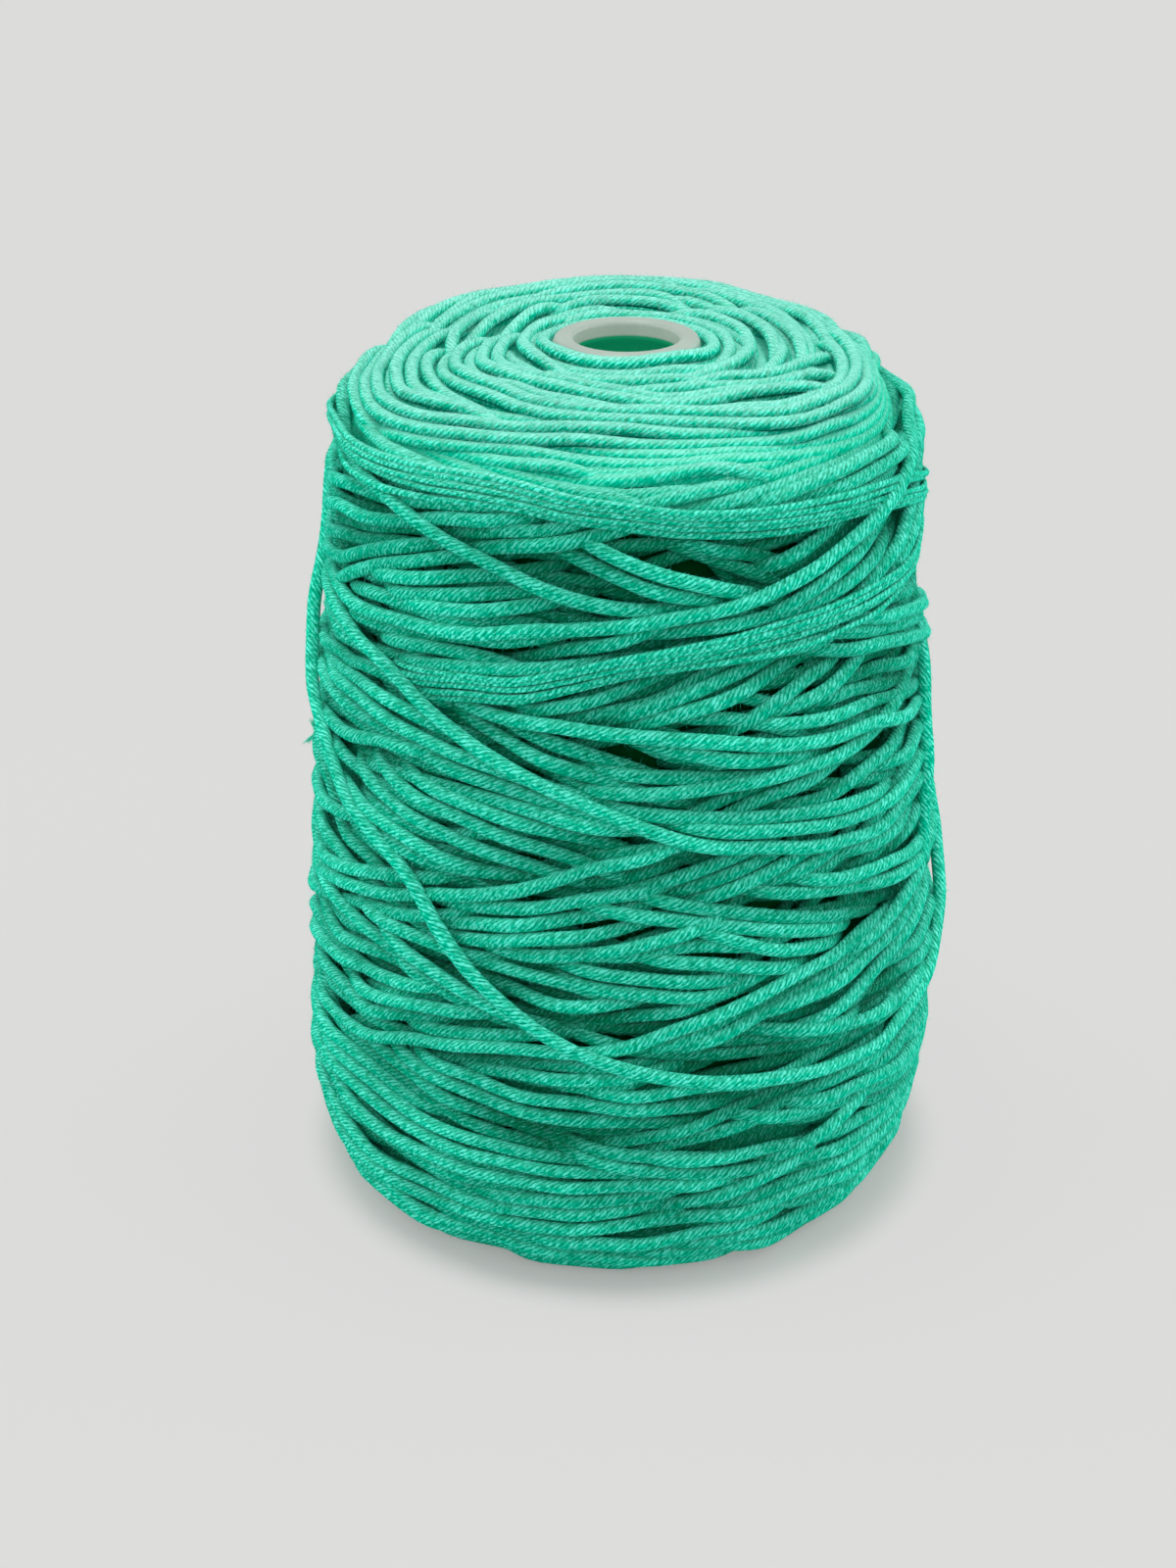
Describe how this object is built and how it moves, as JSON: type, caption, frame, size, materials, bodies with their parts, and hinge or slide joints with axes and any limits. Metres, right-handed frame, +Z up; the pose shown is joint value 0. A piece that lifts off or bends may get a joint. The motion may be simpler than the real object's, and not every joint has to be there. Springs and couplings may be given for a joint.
{
  "type": "cone of yarn",
  "caption": "Soft cross-wound package of thick mint green yarn on a tapered plastic cone tube, standing on its flat base.",
  "frame": {"origin": "on the tube's axis, on the plane that the package's flat underside and the tube's foot stand on", "axes": "+Z up along the tube's axis towards its rim, -Y to the front where the long slack turn hangs, +X to the right seen from the front"},
  "size_m": [0.1551, 0.1555, 0.2037],
  "materials": {
    "tube_plastic": "translucent moulded polypropylene, satin",
    "yarn": "soft spun and plied acrylic, slightly fuzzy"
  },
  "bodies": {
    "root": {"cone_tube": "tube_plastic", "yarn_package": "yarn"}
  },
  "joints": []
}
